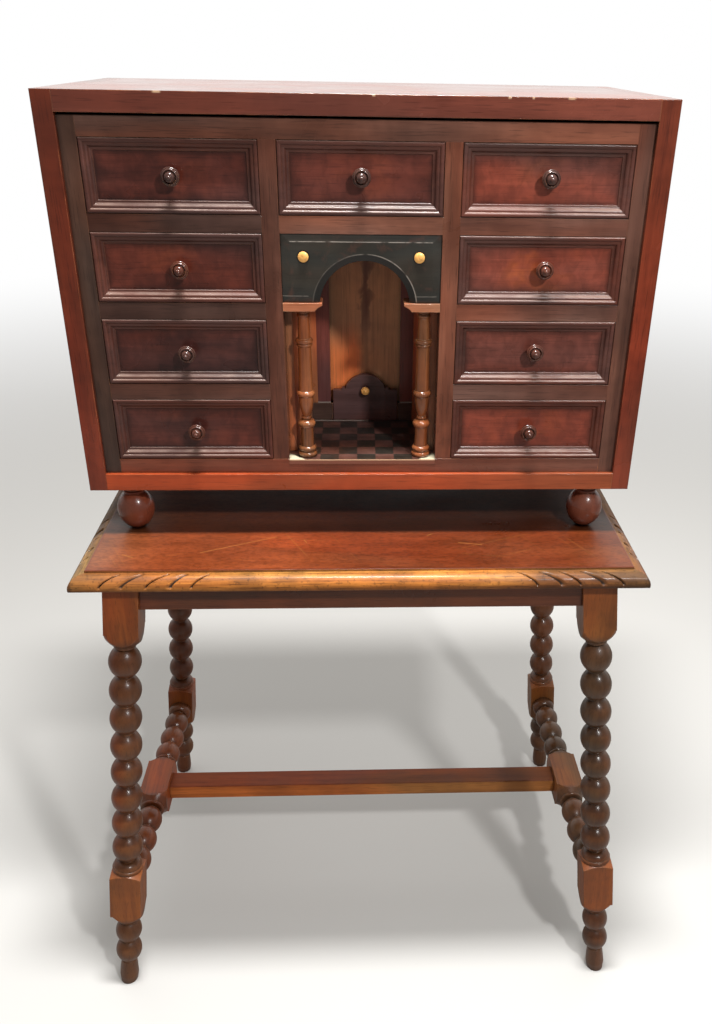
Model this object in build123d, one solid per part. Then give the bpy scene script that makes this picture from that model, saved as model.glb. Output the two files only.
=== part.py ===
from build123d import *
import os
from math import atan2, degrees

# Vargueno: a Spanish cabinet of drawers standing loose on a bobbin-turned stand.
# Millimetres, +Z up, front towards -Y. The origin is on the floor under the middle of the stand.

# --- stand: driving dimensions ---
TOP_W, TOP_D, TOP_T = 620, 400, 18      # board over the legs
STAND_H = 618                           # floor to the top face of that board
EDGE_W, EDGE_STEP, EDGE_R = 15.5, 2.5, 12   # thumb moulding: width, quirk, radius of the round
LEG_X, LEG_Y = 259.5, 164               # leg axis under the board, from the middle
SPLAY_X = {"front": 0.094, "rear": 0.085}   # outward run of a leg per millimetre of drop
SPLAY_Y = 0.068
SIDES, ENDS = {"left": -1, "right": 1}, {"front": -1, "rear": 1}
BLOCK = 38                              # square of the leg and stretcher blocks
APRON_H, APRON_T, APRON_SET = 34, 18, 3.5   # rail under the board, set back from the leg face
STRETCH_Z = 149                         # axis of the side stretchers above the floor
CROSS_D, CROSS_H = 31, 21.5             # plain rail between the side stretchers
TENON_L, TENON_T = 14, 9                # tenons of the aprons and the cross rail
PIN_R = 7                               # round tenons of the side stretchers

# --- legs, measured along the turning axis from the underside of the board ---
UPPER_BLOCK = 66                        # end of the square block
FIRST_BEAD, BEAD_PITCH, BEADS = 108.7, 38.4, 8
BEAD_R, NECK_R, GROOVE = 18.5, 9, 1.4
LOWER_BLOCK = (411, 478)                # second square block, where the stretcher enters
SMALL_BEAD, SMALL_PITCH, SMALL_R = 516.5, 34, 16.5
FOOT_TOP, FOOT_R = 568, 12

# --- side stretchers, measured along Y from the middle ---
MID_BLOCK = 65                          # length of the square block in the middle
STRETCH_BEAD, STRETCH_PITCH, STRETCH_R = 69, 36.4, 17.6

# --- cabinet case ---
CASE_W, CASE_H, CASE_D = 600, 400, 302
BOARD = 19                              # case boards
BACK_T = 10
FOOT_H, BALL_R = 56, 20.5               # turned ball feet under the case
FOOT_IN_X, FOOT_IN_Y = 41, 25           # foot axis from the case corner
CASE_FRONT = -104                       # front face of the case, in Y

# --- drawer frame inside the case ---
FRAME_SET, FRAME_D = 5, 20              # set back behind the case edge, depth of stiles and rails
STILE = 16.5                            # outer stiles
PARTITION = 17                          # uprights between the columns of drawers
MIDDLE_W = 160.6                        # opening between the uprights
ROW_Z, ROW_PITCH, OPENING_H = 35.5, 85.4, 68.4   # first opening, spacing, height
TOP_GAP = 2.5                           # shadow gap over the frame
RUNNER_H, RUNNER_W = 12, 14

# --- drawers ---
GAP = 0.4                               # clearance round each drawer
FRONT_T, SIDE_T, BOTTOM_T = 16, 8, 5
SIDE_H, DRAWER_L = 62, 270              # height of the sides, length of the whole drawer
EDGE_ROUND, PANEL_IN, PANEL_SUNK = 1.4, 11.8, 6.2  # outer edge of a front, inset and depth of its panel
BEAD = ((1.8, 0), (3.7, 0.5), (4.5, 1.7))          # inner side of the bead: three points, (inset, depth)
OVOLO = ((5.0, 1.7), (7.1, 2.3), (8.2, 4.0))
HOLLOW = ((8.2, 4.0), (9.3, 5.0), (11.0, 5.2))
TAILS, TAIL_H, TAIL_FLARE, LAP = 2, 15, 2.5, 9     # dovetails
KNOB_OFF = {"left_1": (0.3, 0.5), "left_2": (1, -0.8), "left_3": (0.5, -0.8), "left_4": (3.3, -1.3),
            "right_1": (2.1, 2.7), "right_2": (3.3, 1.7), "right_3": (0.5, 2.2), "right_4": (0.5, -1.5),
            "middle_1": (0.3, 1.7)}    # knobs bored by hand: shift across and up from the middle of the panel

# --- niche ---
FLOOR_Z = 34.5                          # floor of the niche
ARCH_T, ARCH_R = 9, 46                  # arch board and the radius of its arch
ARCH_X, ARCH_Z = 3.2, 202.4             # centre of the arch, a little right of the middle
FIELD_X, FIELD_Z, FIELD_R = 71, (213.7, 267.2), 53   # flat field of the arch board inside its bevels
EDGE_FALL, ARCH_FALL = 1.2, 3           # fall of the bevels at the edges and round the arch
IMPOST_Z, IMPOST_H, IMPOST_D = 198.4, 8.4, 25.5
IMPOST_IN = {"left": 40.2, "right": 43.3}   # inner end of each impost from the middle
IMPOST_CUT, CUT_SAG = (8, 6), (4.5, 3.6)    # hollow under that end: width and height, its middle point
COLUMN_X, COLUMN_Y = {"left": -60.5, "right": 65}, 19
STEP_Y, STEP_H = 128, 20.5              # riser of the step at the back of the niche
WALL_FRONT, WALL_BACK = 73.2, 60.5      # half-width of the niche at its front and at the step
FLOOR_T, DUST_T = 5, 8
PANEL_W, PANEL_SET, PANEL_T = 83, 9.5, 8   # pale panel at the back, between two strips
BACK_X = 4                              # middle of that panel and of the secret drawer
STUD_X, STUD_Z, STUD_R = 58, 252.5, 5.3

# --- secret drawer in the step ---
CREST_W, CREST_SHOULDER, CREST_TOP = 77, 38, 57.2
CREST_T, SECRET_L, SECRET_H = 5.8, 140, 14.5

# --- worked out ---
UNDER = STAND_H - TOP_T
CASE_Z = STAND_H + FOOT_H
IN_X = CASE_W / 2 - BOARD
FRAME_TOP = CASE_H - BOARD - TOP_GAP
FRAME_BACK = FRAME_SET + FRAME_D
INNER_BACK = CASE_D - BACK_T
MID_X = MIDDLE_W / 2
COL_IN, COL_OUT = MID_X + PARTITION, IN_X - STILE
ROWS = [ROW_Z + ROW_PITCH * row for row in range(4)]
RAIL_H = ROW_PITCH - OPENING_H
STEP_TOP = ROW_Z + STEP_H


def board(x, y, z):
    """Square-edged board between the two ends given along each axis."""
    middle = [(ends[0] + ends[1]) / 2 for ends in (x, y, z)]
    size = [abs(ends[1] - ends[0]) for ends in (x, y, z)]
    return Pos(*middle) * Box(*size)


def turned(*runs):
    """Solid of revolution about Z from an outline of (radius, height) runs, each a line or an arc."""
    outline = Curve() + list(runs)
    first, last = outline.vertices().sort_by(Axis.Z)[0], outline.vertices().sort_by(Axis.Z)[-1]
    closing = Polyline((last.X, 0, last.Z), (0, 0, last.Z), (0, 0, first.Z), (first.X, 0, first.Z))
    return revolve(make_face(outline + closing), Axis.Z)


def line(*points):
    """Straight runs of an outline through (radius, height) points."""
    return Polyline(*[(r, 0, z) for r, z in points])


def round_run(start, middle, end):
    """Arc of an outline through three (radius, height) points."""
    return ThreePointArc(*[(r, 0, z) for r, z in (start, middle, end)])


def bead_row(first, pitch, count, radius):
    """Outline of touching beads down the axis: a round for each bead and a short neck under it."""
    half = pitch / 2
    runs = []
    for bead in range(count):
        middle = -(first + bead * pitch)
        top, low = middle + half, middle - half + GROOVE
        runs += [round_run((NECK_R, top), (radius, (top + low) / 2), (NECK_R, low))]
        runs += [line((NECK_R, low), (NECK_R, low - GROOVE))]
    return runs


def leg_turning():
    """Bobbin-turned leg along -Z: two square blocks with rounded shoulders, beads and a peg foot."""
    wide = BLOCK
    top_bead, last_bead = FIRST_BEAD - BEAD_PITCH / 2, FIRST_BEAD + (BEADS - 0.5) * BEAD_PITCH
    low_bead, foot = SMALL_BEAD - SMALL_PITCH / 2, SMALL_BEAD + 1.5 * SMALL_PITCH
    start, stop = LOWER_BLOCK
    outline = turned(
        line((wide, 10), (wide, -UPPER_BLOCK), (25, -UPPER_BLOCK), (25, -UPPER_BLOCK - 1)),
        round_run((25, -UPPER_BLOCK - 1), (20.5, -UPPER_BLOCK - 11), (12.5, -top_bead + 5)),
        line((12.5, -top_bead + 5), (12.5, -top_bead + 2), (NECK_R, -top_bead + 1.5), (NECK_R, -top_bead)),
        *bead_row(FIRST_BEAD, BEAD_PITCH, BEADS, BEAD_R),
        round_run((NECK_R, -last_bead), (15, -last_bead - 3), (17.5, -start + 6)),
        line((17.5, -start + 6), (16.5, -start + 5.5)),
        round_run((16.5, -start + 5.5), (19, -start + 3), (17.5, -start)),
        line((17.5, -start), (wide, -start - 11), (wide, -stop), (25, -stop)),
        round_run((25, -stop), (20, -stop - 8), (12, -low_bead + 1)),
        line((12, -low_bead + 1), (NECK_R, -low_bead)),
        *bead_row(SMALL_BEAD, SMALL_PITCH, 2, SMALL_R),
        line((NECK_R, -foot), (FOOT_R - 2, -foot - 1)),
        round_run((FOOT_R - 2, -foot - 1), (FOOT_R - 0.7, -foot - 14), (FOOT_R, -foot - 26)),
        line((FOOT_R, -foot - 26), (FOOT_R - 2, -foot - 44)),
    )
    square = Rectangle(BLOCK, BLOCK)
    limits = extrude(square, 10) + extrude(square, -FOOT_TOP)
    return outline & (limits + Pos(0, 0, -FOOT_TOP) * extrude(Circle(BLOCK / 2), -50))


def splayed_leg(turning, end, side):
    """Leg tilted outwards to one corner and cut level under the board and on the floor."""
    up = Vector(-SIDES[side] * SPLAY_X[end], -ENDS[end] * SPLAY_Y, 1).normalized()
    across = (Vector(1, 0, 0) - up * up.X).normalized()
    seat = Plane(origin=(SIDES[side] * LEG_X, ENDS[end] * LEG_Y, UNDER), x_dir=across, z_dir=up)
    level = board((-TOP_W, TOP_W), (-TOP_D, TOP_D), (0, UNDER))
    return seat.location * turning & level


def axis_at(end, height):
    """Distance of a leg's axis from the middle of the stand at a height above the floor."""
    return LEG_X + SPLAY_X[end] * (UNDER - height)


def side_stretcher(side):
    """Turned rail between the front and rear leg of one side, with a square block in the middle."""
    half, ring = MID_BLOCK / 2, STRETCH_BEAD - STRETCH_PITCH / 2
    end = ring + 3 * STRETCH_PITCH
    arm = turned(
        line((BLOCK, 0), (BLOCK, -half), (25, -half)),
        round_run((25, -half), (20, -half - 6), (15, -ring + 5)),
        round_run((15, -ring + 5), (16.5, -ring + 3), (15, -ring + 1)),
        line((15, -ring + 1), (NECK_R, -ring)),
        *bead_row(STRETCH_BEAD, STRETCH_PITCH, 3, STRETCH_R),
        round_run((NECK_R, -end), (15, -end - 3), (17, -end - 9)),
        line((17, -end - 9), (17, -end - 26)),
    )
    arm &= extrude(Rectangle(BLOCK, BLOCK), -end - 40)
    arms = Rot(90, 0, 0) * arm + Rot(-90, 0, 0) * arm
    front, rear = (SIDES[side] * axis_at(end_name, STRETCH_Z) for end_name in ENDS)
    reach = LEG_Y + SPLAY_Y * (UNDER - STRETCH_Z)
    pins = Rot(90, 0, 0) * Cylinder(PIN_R, 2 * reach)
    place = Pos((front + rear) / 2, 0, STRETCH_Z) * Rot(0, 0, degrees(atan2(front - rear, 2 * reach)))
    return place * arms, place * pins


def stand():
    """The table: board, aprons, four legs, two turned stretchers and the cross rail."""
    nodes = {}
    lip = board((-TOP_W / 2, TOP_W / 2), (-TOP_D / 2, TOP_D / 2), (UNDER, STAND_H - EDGE_STEP))
    lip = fillet(lip.edges().group_by(Axis.Z)[-1], EDGE_R)
    lip = fillet(lip.edges().group_by(Axis.Z)[0], 1.5)
    flat_x, flat_y = TOP_W / 2 - EDGE_W, TOP_D / 2 - EDGE_W
    nodes["table_top"] = lip + board((-flat_x, flat_x), (-flat_y, flat_y), (UNDER, STAND_H))

    turning = leg_turning()
    legs = {f"{end}_{side}": splayed_leg(turning, end, side) for end in ENDS for side in SIDES}
    face_x, face_y = (axis + BLOCK / 2 - APRON_SET for axis in (LEG_X, LEG_Y))
    tip_x, tip_y = (axis - BLOCK / 2 + TENON_L for axis in (LEG_X, LEG_Y))
    span, tongue = (UNDER - APRON_H, UNDER), (UNDER - APRON_H + 5, UNDER - 7)
    thick, thin = (0, APRON_T), ((APRON_T - TENON_T) / 2, (APRON_T + TENON_T) / 2)
    for end, name in (("front", "apron_front"), ("rear", "apron_back")):
        rail, tenon = (board((-x, x), [ENDS[end] * (face_y - t) for t in depth], z)
                       for x, depth, z in ((LEG_X, thick, span), (tip_x, thin, tongue)))
        nodes[name] = fitted_rail(rail, tenon, legs, [f"{end}_{side}" for side in SIDES])
    for side, sign in SIDES.items():
        rail, tenon = (board([sign * (face_x - t) for t in depth], (-y, y), z)
                       for y, depth, z in ((LEG_Y, thick, span), (tip_y, thin, tongue)))
        nodes[f"apron_{side}"] = fitted_rail(rail, tenon, legs, [f"{end}_{side}" for end in ENDS])

    stretchers = {}
    for side in SIDES:
        arms, pins = side_stretcher(side)
        stretchers[side] = fitted_rail(arms, pins, legs, [f"{end}_{side}" for end in ENDS])
    cross_z = (STRETCH_Z - CROSS_H / 2, STRETCH_Z + CROSS_H / 2)
    cross = board((-axis_at("rear", STRETCH_Z), axis_at("rear", STRETCH_Z)), (-CROSS_D / 2, CROSS_D / 2), cross_z)
    cross = fillet(cross.edges().filter_by(Axis.X), 1.5)
    tip = axis_at("rear", STRETCH_Z) - BLOCK / 2 + TENON_L
    tenon = board((-tip, tip), (-10, 10), (STRETCH_Z - TENON_T / 2, STRETCH_Z + TENON_T / 2))
    nodes["stretcher_cross"] = fitted_rail(cross, tenon, stretchers, SIDES)
    nodes.update({f"stretcher_{side}": shape for side, shape in stretchers.items()})
    nodes.update({f"leg_{corner}": shape for corner, shape in legs.items()})
    return nodes


def fitted_rail(rail, tenon, posts, ends):
    """Rail shouldered against two posts, with its tenon run into mortises cut in them."""
    for post in ends:
        rail -= posts[post]
    rail = rail.solids().sort_by(SortBy.VOLUME)[-1] + tenon
    for post in ends:
        posts[post] -= tenon
    return rail


def case():
    """Outer case: two sides the full height, top and bottom between them, back let in behind."""
    half, depth = CASE_W / 2, (0, CASE_D)
    inside = (BOARD, CASE_H - BOARD)
    return {
        "case_side_left": board((-half, -IN_X), depth, (0, CASE_H)),
        "case_side_right": board((IN_X, half), depth, (0, CASE_H)),
        "case_top": board((-IN_X, IN_X), depth, (CASE_H - BOARD, CASE_H)),
        "case_bottom": board((-IN_X, IN_X), depth, (0, BOARD)),
        "case_back": board((-IN_X, IN_X), (INNER_BACK, CASE_D), inside),
    }


def ball_feet():
    """Four turned ball feet: a ring under the case, a waist, and a ball with a small flat to stand on."""
    waist = -FOOT_H + 2 * BALL_R
    foot = turned(
        line((14, 0), (14, -3)),
        round_run((14, -3), (10.5, -6), (10, -9)),
        round_run((10, -9), (12, -10.5), (11, -12)),
        round_run((11, -12), (BALL_R, (waist - FOOT_H) / 2), (6, -FOOT_H)),
    )
    x, near, far = CASE_W / 2 - FOOT_IN_X, FOOT_IN_Y, CASE_D - FOOT_IN_Y
    return Compound([Pos(sx * x, y, 0) * foot for sx in (-1, 1) for y in (near, far)])


def frame():
    """Face frame of the drawers: stiles, rails, full-depth partitions, dust board and runners."""
    face = (FRAME_SET, FRAME_BACK)
    nodes = {}
    top_rail = ROWS[3] + OPENING_H
    notch = board((-MID_X, MID_X), face, (FLOOR_Z - FLOOR_T, ROW_Z))
    nodes["rail_top"] = board((-COL_OUT, COL_OUT), face, (top_rail, FRAME_TOP))
    nodes["rail_bottom"] = board((-COL_OUT, COL_OUT), face, (BOARD, ROW_Z)) - notch
    nodes["rail_centre"] = board((-MID_X, MID_X), face, (ROWS[2] + OPENING_H, ROWS[3]))
    nodes["dust_board"] = board((-MID_X, MID_X), (FRAME_BACK, INNER_BACK), (ROWS[3] - DUST_T, ROWS[3]))
    runners = []
    for side, name in ((-1, "left"), (1, "right")):
        nodes[f"stile_{name}"] = board((side * COL_OUT, side * IN_X), face, (BOARD, FRAME_TOP))
        upright = board((side * MID_X, side * COL_IN), face, (ROW_Z, top_rail))
        behind = board((side * MID_X, side * COL_IN), (FRAME_BACK, INNER_BACK), (BOARD, CASE_H - BOARD))
        nodes[f"partition_{name}"] = upright + behind
        rails = [board((side * COL_IN, side * COL_OUT), face, (z - RAIL_H, z)) for z in ROWS[1:]]
        nodes[f"rails_{name}"] = Compound(rails)
        for z in ROWS:
            length, height = (FRAME_BACK, INNER_BACK), (z - RUNNER_H, z)
            runners.append(board((side * COL_IN, side * (COL_IN + RUNNER_W)), length, height))
            outer = board((side * (COL_OUT - RUNNER_W), side * IN_X), length, height)
            runners.append(outer + board((side * COL_OUT, side * IN_X), length, (z, z + RUNNER_H)))
    nodes["drawer_runners"] = Compound(runners)
    return nodes


def sunk_prism(across, along):
    """Wood cut away in front of a sunk panel, with the moulding along both long sides of the cut."""
    bead, ovolo, hollow = ([(inset - across / 2, depth) for inset, depth in run] for run in (BEAD, OVOLO, HOLLOW))
    start, stop = (bead[0][0], -1), (PANEL_IN - across / 2, PANEL_SUNK)
    rim = Curve() + [Line(start, bead[0]), ThreePointArc(*bead), Line(bead[2], ovolo[0]), ThreePointArc(*ovolo),
                     ThreePointArc(*hollow), Line(hollow[2], stop)]
    closing = [Line(point, (-point[0], point[1])) for point in (start, stop)]
    return extrude(make_face(Curve() + [rim, mirror(rim, Plane.YZ), *closing]), along / 2, both=True)


def moulded_front(width, height):
    """Drawer front: rounded outer edge, then a bead, an ovolo and a hollow mitred round a sunk panel."""
    front = board((-width / 2, width / 2), (0, FRONT_T), (0, height))
    front = fillet(front.faces().sort_by(Axis.Y)[0].edges(), EDGE_ROUND)
    upright, level = sunk_prism(width, height), Rot(0, 90, 0) * sunk_prism(height, width)
    return front - Pos(0, 0, height / 2) * (upright & level)


def dovetails(y_wide, y_narrow):
    """Tails of one drawer side: wedges across its thickness, wide at the end of the board."""
    low, high = BOTTOM_T, SIDE_H
    tails = []
    for tail in range(TAILS):
        middle = low + (high - low) * (tail + 0.5) / TAILS
        wide, narrow = TAIL_H / 2 + TAIL_FLARE, TAIL_H / 2
        outline = Polyline((0, y_wide, middle - wide), (0, y_wide, middle + wide),
                           (0, y_narrow, middle + narrow), (0, y_narrow, middle - narrow), close=True)
        tails.append(extrude(make_face(outline), SIDE_T / 2, dir=(1, 0, 0), both=True))
    return tails


def drawer(width):
    """One drawer: moulded front, two dovetailed sides, back, and a bottom nailed on from below."""
    height = OPENING_H - 2 * GAP
    half, back_y = width / 2, DRAWER_L - SIDE_T
    front = moulded_front(width, height)
    back = board((-half, half), (back_y, DRAWER_L), (BOTTOM_T, SIDE_H))
    sides = []
    for side in (-1, 1):
        shift = Pos(side * (half - SIDE_T / 2), 0, 0)
        tails = [shift * t for t in dovetails(FRONT_T - LAP, FRONT_T) + dovetails(DRAWER_L, back_y)]
        wall = board((side * (half - SIDE_T), side * half), (FRONT_T, back_y), (BOTTOM_T, SIDE_H))
        for tail in tails:
            wall += tail
            front -= tail
            back -= tail
        sides.append(wall)
    bottom = board((-half, half), (FRONT_T, DRAWER_L), (0, BOTTOM_T))
    return Compound([front, *sides, back, bottom])


def knob():
    """Turned knob standing out along -Y from the panel: neck, head with two beads, hollow, boss and nipple."""
    shape = turned(
        line((4.8, 0), (4.8, 1.2)),
        round_run((4.8, 1.2), (3.6, 4), (4, 7)),
        round_run((4, 7), (5.6, 9.2), (8.2, 9.9)),
        round_run((8.2, 9.9), (9.1, 11.2), (8.3, 12.5)),
        line((8.3, 12.5), (7.7, 12.2)),
        round_run((7.7, 12.2), (7.6, 14), (6.4, 14.6)),
        line((6.4, 14.6), (5.2, 12.9), (4.3, 13.1)),
        round_run((4.3, 13.1), (4.9, 15.8), (3.3, 18.2)),
        line((3.3, 18.2), (2, 18.5)),
        round_run((2, 18.5), (2.3, 20.3), (0.5, 21.8)),
    )
    return Rot(90, 0, 0) * shape


def drawers():
    """Nine drawers and their knobs, named by column and row from the top."""
    nodes = {}
    side_w, middle_w = COL_OUT - COL_IN - 2 * GAP, MIDDLE_W - 2 * GAP
    columns = [("left", -(COL_IN + COL_OUT) / 2, side_w, (3, 2, 1, 0)),
               ("right", (COL_IN + COL_OUT) / 2, side_w, (3, 2, 1, 0)),
               ("middle", 0, middle_w, (3,))]
    handle = knob()
    for column, x, width, rows in columns:
        body = drawer(width)
        for place, row in enumerate(rows, start=1):
            name = f"{column}_{place}"
            seat = Pos(x, FRAME_SET - 0.5, ROWS[row] + GAP)
            nodes[f"drawer_{name}"] = seat * body
            across, up = KNOB_OFF[name]
            nodes[f"knob_{name}"] = seat * Pos(across, PANEL_SUNK, OPENING_H / 2 - GAP + up) * handle
    return nodes


def column():
    """Turned column of the niche, from its base on the floor to its cap under the impost."""
    foot, cap = FLOOR_Z, IMPOST_Z
    return turned(
        line((9.8, foot), (10, foot + 1)),
        round_run((10, foot + 1), (10.4, foot + 3.2), (9.4, foot + 5.4)),
        line((9.4, foot + 5.4), (8.2, foot + 6.4)),
        round_run((8.2, foot + 6.4), (9.8, foot + 9.6), (7.2, foot + 12.2)),
        line((7.2, foot + 12.2), (7, foot + 33.4)),
        round_run((7, foot + 33.4), (9.6, foot + 38.2), (6.6, foot + 42)),
        line((6.6, foot + 42), (4.4, foot + 43)),
        round_run((4.4, foot + 43), (5.5, foot + 44.7), (4.2, foot + 46.4)),
        round_run((4.2, foot + 46.4), (7.1, foot + 56), (8, foot + 66)),
        line((8, foot + 66), (7.6, foot + 68.6)),
        round_run((7.6, foot + 68.6), (9.9, foot + 72.2), (7.8, foot + 75.6)),
        line((7.8, foot + 75.6), (7, foot + 123), (7.6, foot + 124.2)),
        round_run((7.6, foot + 124.2), (8.5, foot + 125.6), (7.8, foot + 127)),
        round_run((7.8, foot + 127), (9.3, foot + 129.6), (6.8, foot + 132.4)),
        line((6.8, foot + 132.4), (5.6, foot + 153), (5.8, foot + 154.4)),
        round_run((5.8, foot + 154.4), (6.9, foot + 156.6), (5.8, foot + 158.8)),
        line((5.8, foot + 158.8), (7.4, foot + 160), (7.4, cap)),
    )


def impost(name):
    """Block between a column and the arch board; its inner end stands out past the arch, hollowed below."""
    x_in, x_out, low, high = IMPOST_IN[name], MID_X - 0.1, IMPOST_Z, IMPOST_Z + IMPOST_H
    wide, tall = IMPOST_CUT
    outline = Polyline((x_in, 0, low + tall), (x_in, 0, high), (x_out, 0, high), (x_out, 0, low),
                       (x_in + wide, 0, low))
    hollow = ThreePointArc((x_in + wide, 0, low), (x_in + CUT_SAG[0], 0, low + CUT_SAG[1]), (x_in, 0, low + tall))
    block = Pos(0, FRAME_SET - 1.5, 0) * extrude(make_face(outline + hollow), IMPOST_D, dir=(0, 1, 0))
    return mirror(block, Plane.YZ) if name == "left" else block


def niche():
    """Open niche under the middle drawer: floor, splayed walls, step, back, arch board and columns."""
    nodes = {}
    ceiling, wall_y = ROWS[3] - DUST_T, COLUMN_Y + 11.5
    panel_y = STEP_Y + PANEL_SET
    nodes["niche_floor"] = board((-MID_X, MID_X), (FRAME_SET - 0.5, INNER_BACK), (FLOOR_Z - FLOOR_T, FLOOR_Z))
    for side, name in ((-1, "left"), (1, "right")):
        plan = [(WALL_FRONT, wall_y), (WALL_BACK, STEP_Y), (WALL_BACK, panel_y + PANEL_T),
                (WALL_BACK + 6, panel_y + PANEL_T), (WALL_BACK + 6, STEP_Y), (MID_X, wall_y + 14), (MID_X, wall_y)]
        outline = Polyline(*[(side * x, y, FLOOR_Z) for x, y in plan], close=True)
        wall = extrude(make_face(outline), ceiling - FLOOR_Z, dir=(0, 0, 1))
        strip = board((BACK_X + side * PANEL_W / 2, side * WALL_BACK), (STEP_Y + 1.5, panel_y), (STEP_TOP, ceiling))
        nodes[f"niche_wall_{name}"] = Compound([wall, strip])
        nodes[f"impost_{name}"] = impost(name)
        nodes[f"column_{name}"] = Pos(COLUMN_X[name], COLUMN_Y, 0) * column()

    room = (BACK_X - CREST_W / 2 - 0.8, BACK_X + CREST_W / 2 + 0.8)
    slot = board(room, (0, CASE_D), (FLOOR_Z, FLOOR_Z + SECRET_H + 3))
    back = board((-WALL_BACK, WALL_BACK), (panel_y, panel_y + PANEL_T), (FLOOR_Z, ceiling))
    nodes["niche_back"] = back - slot
    step = board((-WALL_BACK, WALL_BACK), (STEP_Y, panel_y), (FLOOR_Z, STEP_TOP))
    crest_room = board(room, (0, STEP_Y + CREST_T + 0.3), (FLOOR_Z, CASE_H))
    nodes["niche_step"] = step - slot - crest_room

    nodes["arch_board"] = arch_board()
    stud = turned(line((STUD_R, 0), (STUD_R, 0.8)), round_run((STUD_R, 0.8), (3.2, 1.9), (0.4, 2.2)))
    stud = Rot(90, 0, 0) * stud
    nodes["bone_studs"] = Compound([Pos(x, FRAME_SET + 0.5, STUD_Z) * stud for x in (-STUD_X, STUD_X)])
    return nodes


def arch_board():
    """Board with the arch cut in its lower edge, its front fielded: bevels fall to every edge and to the arch."""
    half, low, high = MID_X - 0.1, IMPOST_Z + IMPOST_H, ROWS[2] + OPENING_H
    plan = Polyline((-half, ARCH_T), (-half, EDGE_FALL), (-FIELD_X, 0), (FIELD_X, 0), (half, EDGE_FALL),
                    (half, ARCH_T), close=True)
    section = Polyline((0, ARCH_T, low), (0, EDGE_FALL, low), (0, 0, FIELD_Z[0]), (0, 0, FIELD_Z[1]),
                       (0, EDGE_FALL, high), (0, ARCH_T, high), close=True)
    upright = Pos(0, 0, low) * extrude(make_face(plan), high - low, dir=(0, 0, 1))
    level = extrude(make_face(section), half, dir=(1, 0, 0), both=True)
    arch = Pos(ARCH_X, 0, ARCH_Z) * Rot(90, 0, 0)
    splay = (FIELD_R - ARCH_R) / ARCH_FALL
    mouth = Pos(0, 0, -ARCH_FALL / 2 + 0.5) * Cone(ARCH_R, FIELD_R + splay, ARCH_FALL + 1)
    field = (upright & level) - arch * Cylinder(ARCH_R, 60) - arch * mouth
    return Pos(0, FRAME_SET + 0.5, 0) * field


def secret_drawer():
    """Small drawer in the step: crested front with scrolled shoulders, shallow box and bone knob."""
    half, low, high = CREST_W / 2, CREST_SHOULDER, CREST_TOP
    right = (Line((half, 0), (half, low)) + Line((half, low), (half - 10, low))
             + ThreePointArc((half - 10, low), (half - 12.5, low + 3.2), (half - 15, low + 1.2))
             + Line((half - 15, low + 1.2), (half - 15.5, low + 5)))
    left = mirror(right, Plane.YZ)
    crest = ThreePointArc((half - 15.5, low + 5), (0, high), (15.5 - half, low + 5))
    face = make_face(Curve() + [right, left, crest, Line((-half, 0), (half, 0))])
    front = Pos(0, CREST_T, 0) * Rot(90, 0, 0) * extrude(face, CREST_T)
    wall, box = 3, CREST_W / 2 - 1
    length, tall = (CREST_T, SECRET_L), (wall, SECRET_H)
    pieces = [front, board((-box, box), length, (0, wall))]
    pieces += [board((side * box, side * (box - wall)), length, tall) for side in (-1, 1)]
    pieces.append(board((wall - box, box - wall), (SECRET_L - wall, SECRET_L), tall))
    button = turned(line((2.6, 0), (2.6, 3)), round_run((2.6, 3), (5, 5.5), (2.6, 8)),
                    round_run((2.6, 8), (1.4, 9), (0.4, 9.2)))
    seat = Pos(BACK_X, STEP_Y - 0.5, FLOOR_Z + GAP)
    return {"secret_drawer": seat * Compound(pieces),
            "secret_knob": seat * Pos(0, 0, CREST_SHOULDER + 0.5) * Rot(90, 0, 0) * button}


def main():
    cabinet = {**case(), "ball_feet": ball_feet(), **frame(), **niche(), **drawers(), **secret_drawer()}
    place = Pos(0, CASE_FRONT, CASE_Z)
    nodes = {**stand(), **{name: place * shape for name, shape in cabinet.items()}}
    os.makedirs("parts", exist_ok=True)
    for name, shape in nodes.items():
        export_step(shape, f"parts/{name}.step")


main()
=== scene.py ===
from math import pi, radians

import bpy
import numpy as np
from bpy.props import FloatProperty, FloatVectorProperty, PointerProperty
from bpy.types import Operator, Panel, PropertyGroup
from mathutils import Matrix, Vector


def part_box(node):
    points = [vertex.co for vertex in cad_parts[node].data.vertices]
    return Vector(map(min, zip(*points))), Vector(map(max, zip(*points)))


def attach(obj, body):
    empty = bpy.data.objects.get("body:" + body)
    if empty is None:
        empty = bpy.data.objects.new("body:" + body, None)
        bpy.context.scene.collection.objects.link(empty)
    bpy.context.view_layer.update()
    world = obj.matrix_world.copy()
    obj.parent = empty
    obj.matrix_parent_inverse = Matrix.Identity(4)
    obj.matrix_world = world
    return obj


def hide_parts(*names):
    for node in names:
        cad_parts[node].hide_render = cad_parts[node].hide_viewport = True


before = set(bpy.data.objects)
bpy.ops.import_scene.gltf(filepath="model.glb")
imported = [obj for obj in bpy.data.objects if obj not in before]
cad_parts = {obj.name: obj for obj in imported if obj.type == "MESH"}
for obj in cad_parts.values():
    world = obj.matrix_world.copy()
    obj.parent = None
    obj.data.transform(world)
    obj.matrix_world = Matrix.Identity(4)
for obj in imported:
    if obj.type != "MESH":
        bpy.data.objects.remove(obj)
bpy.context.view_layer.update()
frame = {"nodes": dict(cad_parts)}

bl_info = {
    "name": "Vargueno on a Bobbin-Turned Stand",
    "version": (1, 0, 0),
    "blender": (4, 5, 0),
    "location": "View3D > Sidebar > Vargueno",
    "description": "Dresses the cabinet and its stand: carved top, wood finishes, stage and camera",
    "category": "Object",
}

NODES = frame["nodes"]
MM = 0.001

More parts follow.
